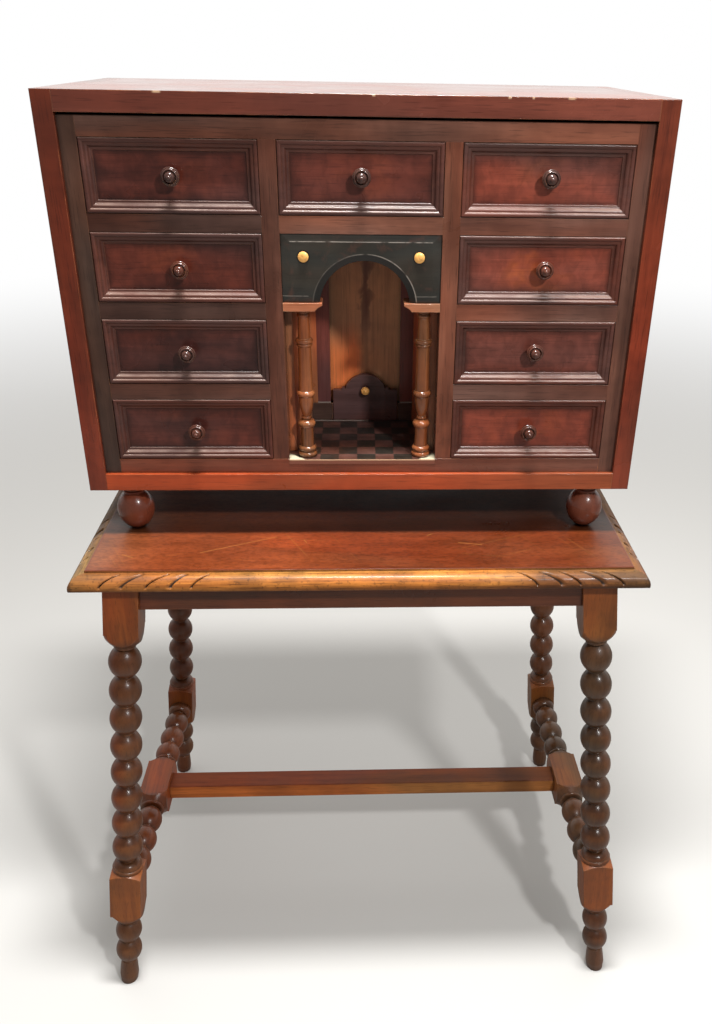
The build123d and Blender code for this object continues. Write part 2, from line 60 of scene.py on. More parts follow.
# --- camera: the eye stands in front of the cabinet, a little above it, and looks down ---
EYE = Vector((-1.9, -1050.7, 1114.0)) * MM
PITCH, YAW, ROLL = 0.4866, -0.0535, -0.0197  # radians: nose down, turned right, leaning
SENSOR, LENS = 36.0, 32.73  # mm
SHIFT = (-0.048, 0.0255)  # of the picture's long side
CLIP = (0.05, 60.0)  # m: nearest and farthest that the camera sees

# --- stage: metres, watts ---
FLOOR_RINGS = (0.0, 1.0, 2.0, 4.0, 9.0)
FLOOR_SPOKES = 96
FLOOR_SHOWN = (0.34, 0.33, 0.31, 1.0)  # the floor's colour to the camera
FLOOR_FADE = (1.2, 4.5)  # where the floor starts to fade and where it is white
WHITE, ROOM = (1.0, 1.0, 1.0, 1.0), (1.0, 0.99, 0.97, 1.0)
BACK_GLOW = (-0.4, 0.7, 0.27, 1.0)  # how the room brightens to the back: from, to, least, most
RIGHT_GLOW = (0.0, 1.0, 0.0, 0.12)  # what it gains to the right
LAMPS = (("lamp_over", (0.05, -0.27, 2.3), (0.05, -0.27, 0.6), (0.45, 0.2), 46.0),
         ("lamp_right", (0.68, -1.35, 1.87), (0.0, 0.0, 0.85), (0.14, 0.14), 18.0))  # place, aim, size, power

# --- carved cuts of the table's edge, mm from a corner: foot, top, width of the slope before the cut ---
CUTS_LEFT = ((32.6, 45, 2.4), (56, 72, 6.5), (81, 99, 2.4), (107.5, 119, 6.5), (129, 143, 2.4))
CUTS_RIGHT = ((29, 44, 2.4), (52, 68, 6.5), (76, 92, 2.4), (97, 115, 6.5), (123, 139, 2.4))
CUT_BACK = 1.2 * MM  # width of a cut's slope away from the corner
CARVED_END = 165 * MM  # how far from a corner the fine grid reaches
CARVED_STEP = 0.8 * MM  # between its lines
CUT_LEAN, CUT_SHAPE = 1.5, 0.8  # powers: how a cut leans with height, how its sides bow
CUT_FOOT, CUT_HEAD = 0.12, 0.06  # shares of the height over which a cut fades in and out
ROUND_LINES, REST_LINES = 17, 24  # grid lines over the round, and between the carved ends of a side
UNDERSIDE = 30 * MM  # how far in the surface starts below the board
FOOT_ROUND = 1.5 * MM  # radius of the moulding's lower edge
BOARD_EDGE = ((0.0, 0.9), (0.25, 0.25), (0.7, 0.0), (1.6, 0.0))  # mm past the lip and below the top
SHARP_ANGLE = radians(38)

# --- square blocks of the turnings, mm from their start to their end along the grain ---
LEG_BLOCKS = ((518, 640), (114, 200))
STRETCHER_BLOCKS = ((-42, 42),)
SIDE_DRIFT = 250 * MM  # the turnings' colour drifts between here left and right of the middle
CROSS_TOP_SHADE = (158 * MM, 159.5 * MM)  # painted shade: the cross rail darkens to its upper face here

# --- case ---
CASE_RISE = (0.68, 1.07)  # m: heights over which its sides fade
FRAME_HALF = 0.3  # m: half the width of the face frame
CHIP_DEPTH, CHIP_RAGGED = 1.2 * MM, 3 * MM  # how far the chips reach back, and how much that varies
CHIP_DROP = (2.5 * MM, 1.2 * MM)  # below the top: where a chip ends and where it is whole

# --- drawers: how red each one's panel is, and how far it is rubbed round the knob ---
FRONTS = {"left_1": (0.2, 0.1), "left_2": (0.4, 0.2), "left_3": (0.15, 0.05), "left_4": (0.3, 0.1),
          "middle_1": (0.55, 0.2),
          "right_1": (1.0, 0.25), "right_2": (1.05, 0.95), "right_3": (0.8, 0.05), "right_4": (0.9, 0.5)}
RUBBED_PATCH = (52 * MM, 12 * MM)  # from the front's middle: where the rubbing starts and is full
FRONT_BACK = (15.5 * MM, 16 * MM)  # depth at which the front ends and bare boards start
FRONT_LAP, SIDE_BOARD = 7 * MM, 8 * MM  # wood in front of the dovetails, thickness of a drawer's side
TAILS_UP, TAILS_APART = 33.5 * MM, 14.25 * MM  # height midway between the two tails, and from there to each
TAIL_HALF, TAIL_TAPER = 10 * MM, 0.278  # half height of a tail's wide end, and how fast it narrows
BLUR = 0.1 * MM  # softness of a line between two woods

# --- niche ---
CHEQUER_LINE = 5.8 * MM  # a line between squares of the niche floor, left of the middle
CHEQUER_FRONT = 4 * MM  # how far in front of the floor its first row of squares would start
CHALK_CORNER = (53 * MM, 16 * MM)  # corner that the chalk lies in: from the middle, behind the floor's front
STRIP_EDGE = -52.9 * MM  # outer edge of the left plum strip
BACK_SPLIT = 5 * MM  # the dark split in the niche's back panel, right of the middle
SPLIT_WANDER = 22 * MM  # how far it strays sideways
SPLIT_WIDTH = (2 * MM, 11 * MM)  # its width between knots and at them
ARCH_MIDDLE = (3.2 * MM, 876.4 * MM)  # centre of the arch, across and up
ARCH_BEVEL = 53 * MM  # outer radius of its bevel
FIELD_FOOT, FIELD_HEAD = 887.7 * MM, 941.2 * MM  # of the flat field of the arch board
FOOT_FROM, HEAD_TO = 54 * MM, 71 * MM  # where its lower line starts and its upper line ends
STUD_PLACE, STUD_RADIUS = (58 * MM, 926.5 * MM), 5.3 * MM  # bone studs: from the middle and up

# --- what a wood's colour is multiplied by ---
WARMER, COOLER = (1.2, 0.95, 0.78, 1.0), (0.84, 1.03, 1.14, 1.0)  # drift along a board
DEEPENED = (0.46, 0.38, 0.36, 1.0)  # old dark grain: deeper, and a little redder
UNFADED_AND_SHADOWED = (0.5, 0.62, 0.75, 1.0)  # the table top under the cabinet: unfaded wood, and the cabinet's painted shadow
ENDS_REFLECTION_TINT = (0.85, 1.15, 1.3, 1.0)  # painted reflection of a pale wall: the ends of the table top, greyer and less red
PAINTED_LIGHT_PATCH = (1.75, 0.95, 0.55, 1.0)  # painted light: a pool of lamp light on the low left part of the niche's back
LEFT_LEGS, RIGHT_LEGS = (1.06, 0.97, 0.77, 1.0), (0.83, 1.06, 1.14, 1.0)
CUT_SHADE = (0.02, 0.01, 0.006, 1.0)  # painted shade: colour of the depth of a carved cut

# --- where the table top changes, from its middle: start, end ---
SHADED = (-90 * MM, 10 * MM)  # darker to the right
REFLECTING_LEFT, REFLECTING_RIGHT = (-200 * MM, -290 * MM), (200 * MM, 300 * MM)
UNDER_CASE = (-104 * MM, -96 * MM)  # behind here the board is unfaded and in the cabinet's painted shadow
DEEPER_CASE_SHADOW = (-52 * MM, -40 * MM)  # the cabinet's painted shadow on the board deepens here
DUSTY_CASE = (-80 * MM, -40 * MM)  # the polish gets dull
SCUFFED = (-100 * MM, -106 * MM)  # scratches stay in front of the cabinet
LIP_LEFT, LIP_RIGHT = (-80 * MM, -260 * MM), (110 * MM, 210 * MM)  # the lip darkens towards its ends
LIP_BACK = (-180 * MM, -110 * MM)  # and towards the back
LIP_PALE = (-250 * MM, 200 * MM)  # it is paler at the left

# --- marks of use, mm ---
SCRATCHES = ((-178, -146, -98, -110), (-66, -118, -63, -124), (74, -108, 80, -104), (108, -126, 134, -131),
             (-262, -150, -250, -156), (-20, -84, -18, -66))  # ends of each scratch on the table top
NICKS = ((-186, 5), (12, 2), (138, 2), (160, 1.5), (196, 4.5))  # chips in the case top's edge: place, width


def srgb(red, green, blue):
    """Linear colour of an 0-255 screen colour: each channel raised by the screen's curve."""
    channel = np.array((red, green, blue)) / 255.0
    low, high = channel / 12.92, ((channel + 0.055) / 1.055) ** 2.4
    return tuple(float(v) for v in np.where(channel <= 0.04045, low, high))


def colour(name, description, red, green, blue):
    """A colour property with this screen colour as its default."""
    return FloatVectorProperty(name=name, description=description, subtype="COLOR", size=3,
                               min=0.0, max=1.0, default=srgb(red, green, blue))


class VarguenoSizes(PropertyGroup):
    lip: FloatProperty(name="Lip width", description="Width of the thumb moulding round the table top",
                       default=15.5 * MM, unit="LENGTH")
    quirk: FloatProperty(name="Quirk", description="Height of the flat above the moulding",
                         default=2.5 * MM, unit="LENGTH")
    round: FloatProperty(name="Round", description="Radius of the thumb moulding",
                         default=12 * MM, unit="LENGTH")
    cut_depth: FloatProperty(name="Cut depth", description="Depth of the carved cuts",
                             default=2.2 * MM, unit="LENGTH")
    square: FloatProperty(name="Chequer square", description="Side of the squares on the niche floor",
                          default=20.4 * MM, unit="LENGTH")
    panel_inset: FloatProperty(name="Panel inset", description="Edge of a drawer front to its sunk panel",
                               default=11.4 * MM, unit="LENGTH")
    wear: FloatProperty(name="Wear", description="How far the polish is rubbed off the edges",
                        default=1.0, min=0.0, max=1.0, subtype="FACTOR")


class VarguenoColours(PropertyGroup):
    case_top: colour("Case top", "Red mahogany of the top board", 115, 60, 46)
    case_side: colour("Case sides", "Red mahogany of the side boards", 119, 52, 31)
    case_bottom: colour("Case bottom", "Lighter board under the drawers", 168, 77, 42)
    frame: colour("Frame", "Brown of the stiles and rails", 98, 67, 55)
    frame_low: colour("Bottom rail", "Brown of the lowest rail", 128, 74, 56)
    panel_dark: colour("Drawer, dark", "Plum-brown drawer panels", 71, 36, 32)
    panel_red: colour("Drawer, red", "Red-brown drawer panels", 139, 73, 59)
    glow: colour("Drawer, rubbed", "Orange patches round the knobs", 166, 88, 48)
    moulding: colour("Moulding", "Dark moulding of the drawers", 82, 49, 42)
    # dust, and a painted highlight on the mouldings' upper sides
    dust_and_sheen: colour("Dust", "Dust and wear on the drawer mouldings", 150, 125, 112)
    knob: colour("Knob", "Turned knobs", 85, 52, 43)
    ball: colour("Ball feet", "Turned ball feet", 128, 71, 52)
    top: colour("Table top", "Orange-brown of the table top", 136, 63, 31)
    lip: colour("Lip", "Golden edge of the table top", 194, 133, 61)
    lip_dark: colour("Lip, dark", "Corners and sides of that edge", 85, 54, 33)
    stand: colour("Turning", "Brown of the turned legs", 89, 53, 33)
    block: colour("Block", "Lighter brown of the square blocks", 146, 75, 28)
    apron: colour("Apron", "Dark brown of the aprons", 103, 52, 28)
    cross: colour("Cross rail", "Red-brown of the cross rail", 186, 111, 53)
    worn: colour("Worn wood", "Rubbed edges", 200, 132, 86)
    chip: colour("Chip", "Fresh wood in the chips", 214, 176, 140)
    ebony: colour("Ebonised", "Blackened arch board", 48, 46, 41)
    # wear and painted highlight: the pale lines of the arch board's arrises and of the niche's ledges
    arris: colour("Arris", "Rubbed lines of the arch board", 158, 148, 138)
    bone: colour("Bone", "Bone studs and knob", 246, 182, 100)
    impost: colour("Impost", "Pale orange blocks over the columns", 187, 118, 84)
    column: colour("Column", "Turned columns of the niche", 163, 95, 56)
    back: colour("Niche back", "Ochre panel at the back of the niche", 214, 159, 116)
    wall: colour("Niche wall", "Orange veneer of the niche walls", 206, 123, 78)
    plum: colour("Niche strip", "Plum strips beside the ochre panel", 123, 69, 63)
    secret: colour("Secret drawer", "Dark crested front", 99, 64, 59)
    square_dark: colour("Dark square", "Dark squares of the niche floor", 45, 42, 38)
    square_red: colour("Red square", "Reddish squares of the niche floor", 87, 61, 55)
    raw: colour("Bare wood", "Unpolished wood inside the cabinet", 170, 130, 92)
    chalk: colour("Chalk", "Old white filler under the columns", 206, 196, 166)
    floor: colour("Floor", "Plain floor", 214, 212, 208)


def tone(name, gain=1.0):
    """A finish colour from the panel, with alpha, made darker or lighter by a gain."""
    return (*(min(1.0, v * gain) for v in getattr(bpy.context.scene.vargueno_colours, name)), 1.0)


def deeper(name):
    """A finish colour as old dark grain has it."""
    return tuple(share * value for share, value in zip(DEEPENED, tone(name)))


# --- shader nodes ---

class Nodes:
    """A shader tree, cleared. Its methods add nodes and hand back their output sockets."""

    def __init__(self, owner):
        owner.use_nodes = True
        self.tree = owner.node_tree
        self.tree.nodes.clear()

    def node(self, kind, feeds=None, **settings):
        made = self.tree.nodes.new(kind)
        for key, value in settings.items():
            setattr(made, key, value)
        for socket, value in (feeds or {}).items():
            self.feed(made.inputs[socket], value)
        return made

    def feed(self, socket, value):
        if isinstance(value, bpy.types.NodeSocket):
            self.tree.links.new(value, socket)
        else:
            socket.default_value = value

    def math(self, operation, first, second=0.0, clamp=False):
        feeds = {0: first, 1: second}
        return self.node("ShaderNodeMath", feeds, operation=operation, use_clamp=clamp).outputs[0]

    def vector(self, operation, *vectors):
        """A vector sum: a vector result comes out first, a plain number as Value."""
        return self.node("ShaderNodeVectorMath", dict(enumerate(vectors)), operation=operation).outputs

    def product(self, first, second):
        return self.math("MULTIPLY", first, second)

    def plus(self, first, second):
        return self.math("ADD", first, second)

    def minus(self, first, second):
        return self.math("SUBTRACT", first, second)

    def most(self, first, *others):
        """The greatest of several numbers."""
        for other in others:
            first = self.math("MAXIMUM", first, other)
        return first

    def size(self, value):
        """A number without its sign."""
        return self.math("ABSOLUTE", value)

    def split(self, vector):
        return self.node("ShaderNodeSeparateXYZ", {0: vector}).outputs

    def ramp(self, value, low, high, start=0.0, stop=1.0, kind="LINEAR"):
        """Start below low, stop above high, a straight line between."""
        feeds = {"Value": value, "From Min": low, "From Max": high, "To Min": start, "To Max": stop}
        return self.node("ShaderNodeMapRange", feeds, interpolation_type=kind).outputs["Result"]

    def step(self, *range_and_values):
        """The same as a ramp, with an S-curve between."""
        return self.ramp(*range_and_values, kind="SMOOTHSTEP")

    def mix(self, amount, first, second, blend="MIX"):
        feeds = {0: amount, 6: first, 7: second}
        return self.node("ShaderNodeMix", feeds, data_type="RGBA", blend_type=blend).outputs[2]

    def times(self, base, hue):
        """One colour multiplied by another."""
        return self.mix(1.0, base, hue, "MULTIPLY")


class Finish(Nodes):
    """One surface finish on a shader of its own."""

    def __init__(self, name):
        self.material = bpy.data.materials.new(name + "_finish")
        super().__init__(self.material)
        self.shader = self.node("ShaderNodeBsdfPrincipled")
        self.end = self.node("ShaderNodeOutputMaterial", {"Surface": self.shader.outputs[0]})
        self.place = self.node("ShaderNodeTexCoord").outputs["Object"]

    def axes(self):
        return self.split(self.place)

    def noise(self, scale, detail=3.0, roughness=0.55, distortion=0.0, shift=(0, 0, 0), turn=(0, 0, 0)):
        """Noise with its number of waves per metre: one for all, or its own along each axis."""
        scale = scale if isinstance(scale, tuple) else (scale,) * 3
        turned = self.place
        if any(turn):
            turned = self.node("ShaderNodeMapping", {"Vector": self.place, "Rotation": turn}).outputs[0]
        feeds = {"Vector": turned, "Location": shift, "Scale": scale}
        place = self.node("ShaderNodeMapping", feeds).outputs[0]
        feeds = {"Vector": place, "Scale": 1.0, "Detail": detail, "Roughness": roughness,
                 "Distortion": distortion}
        return self.node("ShaderNodeTexNoise", feeds).outputs[0]

    def along(self, grain, lengthwise, across):
        """Wave numbers for a pattern stretched along the grain axis."""
        return tuple(lengthwise if axis == grain else across for axis in "XYZ")

    def wood(self, name, grain="X", seed=0.0, contrast=0.6, coarse=1.0, cloud=0.4, body=None, hue=1.0):
        """Wood: its colour, its pores and its patina.

        Wide soft bands, streaks and short dark pores run along the grain, under a cloudy patina."""
        shift = (seed, seed * 1.7, seed * 2.3)
        band = self.noise(self.along(grain, 1.4, 17.0 * coarse), 3.0, 0.55, 0.9, shift)
        streak = self.noise(self.along(grain, 5.0, 95.0 * coarse), 4.0, 0.6, 0.4, shift)
        pore = self.noise(self.along(grain, 38.0, 950.0), 2.0, 0.5, 0.0, shift)
        patina = self.noise(10.0, 4.0, 0.62, 0.3, shift)
        drift = self.step(self.noise(self.along(grain, 3.0, 11.0), 2.0, 0.5, 0.6, shift), 0.36, 0.64,
                          0.5 - 0.5 * hue, 0.5 + 0.5 * hue)
        figure = self.plus(self.product(band, 0.55), self.product(streak, 0.45))
        body = body or tone(name)
        body = self.mix(drift, self.times(body, WARMER), self.times(body, COOLER))
        deep = self.times(body, DEEPENED)
        base = self.mix(self.step(figure, 0.40, 0.60, 1.0 - contrast, 1.0), deep, body)
        shade = self.product(self.step(pore, 0.30, 0.44, 1.0 - contrast * 0.55, 1.0),
                             self.step(patina, 0.3, 0.7, 1.0 - cloud * 0.5, 1.0 + cloud * 0.45))
        return self.tint(base, shade), pore, patina

    def tint(self, base, shade):
        """A colour made darker or lighter by a number."""
        grey = self.node("ShaderNodeCombineXYZ", {0: shade, 1: shade, 2: shade}).outputs[0]
        return self.times(base, grey)

    def scratches(self, *turns):
        """Long thin scuffs: noise drawn out along a line, one set to each angle, 0 to 1."""
        marks = 0.0
        for number, turn in enumerate(turns):
            line = self.noise((3.0, 420.0, 1.0), 1.0, 0.5, 0.0, (number * 5.0, 2.0, 0.0), (0.0, 0.0, turn))
            gate = self.noise(14.0, 2.0, 0.5, 0.0, (number * 3.0, 0.0, 0.0))
            mark = self.product(self.step(line, 0.70, 0.76), self.step(gate, 0.5, 0.6))
            marks = self.most(marks, mark)
        return marks

    def line(self, ends, width):
        """1 on a thin line seen from above between two points, given in mm, and 0 away from it."""
        start, stop = Vector((*ends[:2], 0)) * MM, Vector((*ends[2:], 0)) * MM
        run = stop - start
        flat = self.vector("MULTIPLY", self.place, (1, 1, 0))[0]
        offset = self.vector("SUBTRACT", flat, start)[0]
        share = self.vector("DOT_PRODUCT", offset, run / run.length_squared)["Value"]
        share = self.math("ADD", share, 0.0, clamp=True)
        foot = self.node("ShaderNodeVectorMath", {0: run, 3: share}, operation="SCALE").outputs[0]
        off = self.vector("DISTANCE", offset, foot)["Value"]
        return self.step(off, width, 0.3 * width)

    def near(self, value, middle, reach, full=0.4):
        """1 where a coordinate is at its middle value, over this share of its reach; 0 beyond its reach."""
        return self.step(self.size(self.minus(value, middle)), reach, full * reach)

    def edges(self, radius, from_dot=0.985, to_dot=0.86):
        """How near a sharp edge is, 0 to 1, and the normal rounded over it by this radius."""
        rounded = self.node("ShaderNodeBevel", {"Radius": radius}, samples=4).outputs[0]
        flat = self.node("ShaderNodeNewGeometry").outputs["True Normal"]
        same = self.vector("DOT_PRODUCT", rounded, flat)["Value"]
        return self.step(same, from_dot, to_dot), rounded

    def rubbed(self, base, worn, edge, amount=0.7, seed=0.0):
        """Worn wood along the edges, in patches."""
        patches = self.step(self.noise(38.0, 4.0, 0.6, 0.0, (seed, 3.1, 0.7)), 0.40, 0.62, 0.15, 1.0)
        amount *= bpy.context.scene.vargueno_sizes.wear
        return self.mix(self.product(self.product(edge, patches), amount), base, worn)

    def upper(self, low=0.2, high=0.8):
        """1 on surfaces that face up, 0 on those that do not."""
        normal = self.node("ShaderNodeNewGeometry").outputs["True Normal"]
        return self.step(self.split(normal)[2], low, high)

    def grime_and_shade(self, base, reach=7 * MM, strength=0.65):
        """Old polish and soiling darken the corners, and painted shade darkens them too where little open sky
        reaches.
        """
        open_sky = self.node("ShaderNodeAmbientOcclusion", {"Distance": reach}, samples=4).outputs["AO"]
        return self.tint(base, self.step(open_sky, 0.25, 0.85, 1.0 - strength, 1.0))

    def sheen(self, patina, least, most):
        """Roughness between two values, rougher where the patina is thick."""
        return self.step(patina, 0.3, 0.7, least, most)

    def done(self, base, rough, height=None, lift=0.1 * MM, normal=None,
             coat=0.3, coat_rough=0.16, specular=0.4):
        """Ends the finish in the shader: colour, roughness, bump and a coat of polish."""
        self.feed(self.shader.inputs["Base Color"], base)
        self.feed(self.shader.inputs["Roughness"], rough)
        self.shader.inputs["Specular IOR Level"].default_value = specular
        self.shader.inputs["Coat Weight"].default_value = coat
        self.shader.inputs["Coat Roughness"].default_value = coat_rough
        if normal is not None:
            self.feed(self.shader.inputs["Coat Normal"], normal)
        if height is not None:
            feeds = {"Height": height, "Strength": 1.0, "Distance": 0.4 * lift}
            if normal is not None:
                feeds["Normal"] = normal
            normal = self.node("ShaderNodeBump", feeds).outputs[0]
        if normal is not None:
            self.feed(self.shader.inputs["Normal"], normal)
        return self.material


def polished(name, body, grain="X", seed=0.0, contrast=0.6, coarse=1.0, cloud=0.4, rough=(0.26, 0.42),
             radius=1.4 * MM, wear=0.6, coat=0.25, specular=0.3, dirt_and_shade=0.5, worn="worn", fade=None):
    """Old polished wood, rubbed along its edges, with soiling and painted shade in its corners.

    A fade is an axis, a stretch of it in metres and the colour the wood is multiplied by at either end."""
    f = Finish(name)
    base, pore, patina = f.wood(body, grain, seed, contrast, coarse, cloud)
    if fade:
        axis, start, stop, first, last = fade
        hue = f.mix(f.step(f.axes()[axis], start, stop), (*first, 1.0), (*last, 1.0))
        base = f.times(base, hue)
    edge, rounded = f.edges(radius)
    base = f.rubbed(base, tone(worn), edge, wear, seed)
    # soiling and painted shade darken the corners
    base = f.grime_and_shade(base, strength=dirt_and_shade)
    shine = f.sheen(patina, *rough)
    return f.done(base, shine, pore, 0.06 * MM, rounded, coat, specular=specular)


def bare(name, grain="Y", seed=0.0):
    """Unpolished wood inside the cabinet."""
    f = Finish(name)
    base, pore, _ = f.wood("raw", grain, seed, 0.45, 1.3, 0.3, hue=0.25)
    # soiling and painted shade darken the corners
    return f.done(f.grime_and_shade(base), 0.75, pore, 0.15 * MM, None, 0.0, specular=0.2)


def pair(name):
    """The left and right nodes of this name."""
    return name + "_left", name + "_right"


def dress(material, *names):
    """Gives these solids this finish and no other."""
    for name in names:
        NODES[name].data.materials.clear()
        NODES[name].data.materials.append(material)


# --- surfaces ---

def grid_mesh(name, points, closed_across=False, closed_along=False, caps=()):
    """Mesh of a grid of points [along, across]: one quad to each cell, faces to the left of the run."""
    rows, columns = points.shape[:2]
    index = np.arange(rows * columns).reshape(rows, columns)
    down = index if not closed_along else np.vstack([index, index[:1]])
    both = down if not closed_across else np.hstack([down, down[:, :1]])
    quads = np.stack([both[:-1, :-1], both[1:, :-1], both[1:, 1:], both[:-1, 1:]], -1).reshape(-1, 4)
    faces = quads.tolist() + [list(map(int, cap)) for cap in caps]
    mesh = bpy.data.meshes.new(name)
    mesh.from_pydata(points.reshape(-1, 3).tolist(), [], faces)
    mesh.validate()
    mesh.shade_smooth()
    return mesh


def piece(name, mesh, body, material, *stands_for):
    """A finished mesh as an object of the scene that rides on a body."""
    made = bpy.data.objects.new(name, mesh)
    bpy.context.scene.collection.objects.link(made)
    mesh.materials.append(material)
    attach(made, body)
    if stands_for:
        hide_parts(*stands_for)


def carved_depth(run, climb, sizes, cuts):
    """Depth of the carving at a distance from the nearer corner and a height 0-1 up the round.

    Each cut starts at the foot of the round and leans away from the corner with a power of the height.
    Across the cut the depth falls as a V, steep on the side away from the corner; a wide cut is shallower
    on its other side. All cuts fade out at the top and bottom of the round."""
    depth = np.zeros_like(run)
    for foot, top, before in np.array(cuts) * MM:
        middle = foot + (top - foot) * climb ** CUT_LEAN
        offset = run - middle
        slope = np.where(offset < 0, 1 + offset / before, 1 - offset / CUT_BACK)
        depth = np.maximum(depth, np.clip(slope, 0, 1) ** CUT_SHAPE)
    fade = np.clip(climb / CUT_FOOT, 0, 1) * np.clip((1 - climb) / CUT_HEAD, 0, 1)
    return depth * fade * sizes.cut_depth


def table_top():
    """Top board as one run of moulding profile round the rectangle, mitred at the corners.

    A point of the profile has an inset from the outer edge and a height; on a side of half-length h
    its place along the side is the run parameter times (h - inset), which makes the mitres."""
    low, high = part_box("table_top")
    sizes = bpy.context.scene.vargueno_sizes
    middle, half = (low + high) / 2, (high - low) / 2
    turn = np.linspace(0, pi / 2, ROUND_LINES)
    foot_turn = turn[::4]
    brim = high.z - sizes.quirk
    edge_in, edge_down = np.transpose(BOARD_EDGE) * MM
    inset = np.concatenate([[UNDERSIDE, FOOT_ROUND], FOOT_ROUND * (1 - np.sin(foot_turn)),
                            sizes.round * (1 - np.cos(turn)), [sizes.lip - 0.5 * MM, sizes.lip],
                            sizes.lip + edge_in])
    height = np.concatenate([[low.z, low.z], low.z + FOOT_ROUND * (1 - np.cos(foot_turn)),
                             brim - sizes.round * (1 - np.sin(turn)), [brim, brim], high.z - edge_down])
    first = 2 + len(foot_turn)
    climb = np.full(len(inset), -1.0)
    climb[first:first + len(turn)] = np.linspace(0, 1, len(turn))
    near = np.arange(0, CARVED_END, CARVED_STEP)
    runs, carving = [], []
    for side, (cos, sin) in enumerate(((1, 0), (0, 1), (-1, 0), (0, -1))):
        reach, out = (half.x, half.y) if side % 2 == 0 else (half.y, half.x)
        rest = np.linspace(near[-1], 2 * reach - near[-1], REST_LINES)[1:-1]
        along = np.concatenate([near, rest, 2 * reach - near[::-1]])[:-1] - reach
        run = (reach - np.abs(along))[:, None] + 0 * inset[None]
        height_up = np.clip(climb, 0, 1)[None] + 0 * run
        carved = np.where(along[:, None] < 0, carved_depth(run, height_up, sizes, CUTS_LEFT),
                          carved_depth(run, height_up, sizes, CUTS_RIGHT)) * (climb[None] >= 0)
        x = (along / reach)[:, None] * (reach - inset[None])
        y = -(out - inset[None] - carved * np.cos(turn_of(climb))[None])
        z = height[None] - carved * np.sin(turn_of(climb))[None]
        carving.append(carved / sizes.cut_depth)
        runs.append(np.stack([middle.x + cos * x - sin * y, middle.y + sin * x + cos * y, z + 0 * x], -1))
    points = np.concatenate(runs)
    count, width = points.shape[:2]
    index = np.arange(count * width).reshape(count, width)
    mesh = grid_mesh("table_top_carved", points, closed_along=True, caps=[index[:, -1], index[::-1, 0]])
    mesh.set_sharp_from_angle(angle=SHARP_ANGLE)
    carved = mesh.attributes.new("carved", "FLOAT", "POINT")
    carved.data.foreach_set("value", np.concatenate(carving).ravel())
    return mesh


def turn_of(climb):
    """Angle of the round's surface normal above the horizontal at this height 0-1."""
    return np.clip(climb, 0, 1) * pi / 2


# --- operators ---

class VARGUENO_OT_stage(Operator):
    """Floor, backdrop light, lamps and camera"""
    bl_idname = "vargueno.stage"
    bl_label = "Stage"

    def execute(self, context):
        scene = context.scene
        self.floor(scene)
        self.world(scene)
        self.lamps(scene)
        self.camera(scene)
        scene.view_settings.view_transform = "Standard"
        return {"FINISHED"}

    def floor(self, scene):
        """Disc of rings: a point's place is its ring's radius times the cosine and sine of its spoke.

        To the camera it fades to white far off."""
        spokes = np.linspace(0, 2 * pi, FLOOR_SPOKES, endpoint=False)
        rings = np.array(FLOOR_RINGS)
        points = np.stack([np.outer(rings, np.cos(spokes)), np.outer(rings, np.sin(spokes)),
                           np.zeros((len(rings), FLOOR_SPOKES))], -1)
        mesh = grid_mesh("floor", points, closed_across=True)
        floor = bpy.data.objects.new("floor", mesh)
        scene.collection.objects.link(floor)
        f = Finish("floor")
        ray = f.node("ShaderNodeLightPath").outputs["Is Camera Ray"]
        f.done(f.mix(ray, FLOOR_SHOWN, tone("floor")), 0.6, coat=0.0, specular=0.2)
        fade = f.product(ray, f.step(f.vector("LENGTH", f.place)["Value"], *FLOOR_FADE))
        white = f.node("ShaderNodeEmission", {"Color": WHITE, "Strength": 1.0}).outputs[0]
        both = f.node("ShaderNodeMixShader", {0: fade, 1: f.shader.outputs[0], 2: white}).outputs[0]
        f.feed(f.end.inputs["Surface"], both)
        mesh.materials.append(f.material)

    def world(self, scene):
        """White to the camera; to everything else a room that is bright behind and dimmer in front."""
        scene.world = bpy.data.worlds.new("room")
        room = Nodes(scene.world)
        place = room.node("ShaderNodeTexCoord").outputs["Generated"]
        x, y, _ = room.split(place)
        right, back = room.ramp(x, *RIGHT_GLOW), room.ramp(y, *BACK_GLOW)
        feeds = {"Color": ROOM, "Strength": room.plus(right, back)}
        plain = room.node("ShaderNodeBackground", feeds).outputs[0]
        shown = room.node("ShaderNodeBackground", {"Color": WHITE}).outputs[0]
        ray = room.node("ShaderNodeLightPath").outputs["Is Camera Ray"]
        both = room.node("ShaderNodeMixShader", {0: ray, 1: plain, 2: shown}).outputs[0]
        room.node("ShaderNodeOutputWorld", {"Surface": both})

    def lamps(self, scene):
        for name, place, aim, size, power in LAMPS:
            light = bpy.data.lights.new(name, "AREA")
            light.shape = "ELLIPSE"
            light.energy = power
            light.size, light.size_y = size
            lamp = bpy.data.objects.new(name, light)
            lamp.location = place
            lamp.rotation_euler = (Vector(aim) - Vector(place)).to_track_quat("-Z", "Y").to_euler()
            scene.collection.objects.link(lamp)

    def camera(self, scene):
        data = bpy.data.cameras.new("camera")
        data.sensor_width, data.lens = SENSOR, LENS
        data.shift_x, data.shift_y = SHIFT
        data.clip_start, data.clip_end = CLIP
        camera = bpy.data.objects.new("camera", data)
        turn = (Matrix.Rotation(YAW, 4, "Z") @ Matrix.Rotation(-PITCH, 4, "X") @ Matrix.Rotation(ROLL, 4, "Y")
                @ Matrix.Rotation(pi / 2, 4, "X"))
        camera.matrix_world = Matrix.Translation(EYE) @ turn
        scene.collection.objects.link(camera)
        scene.camera = camera


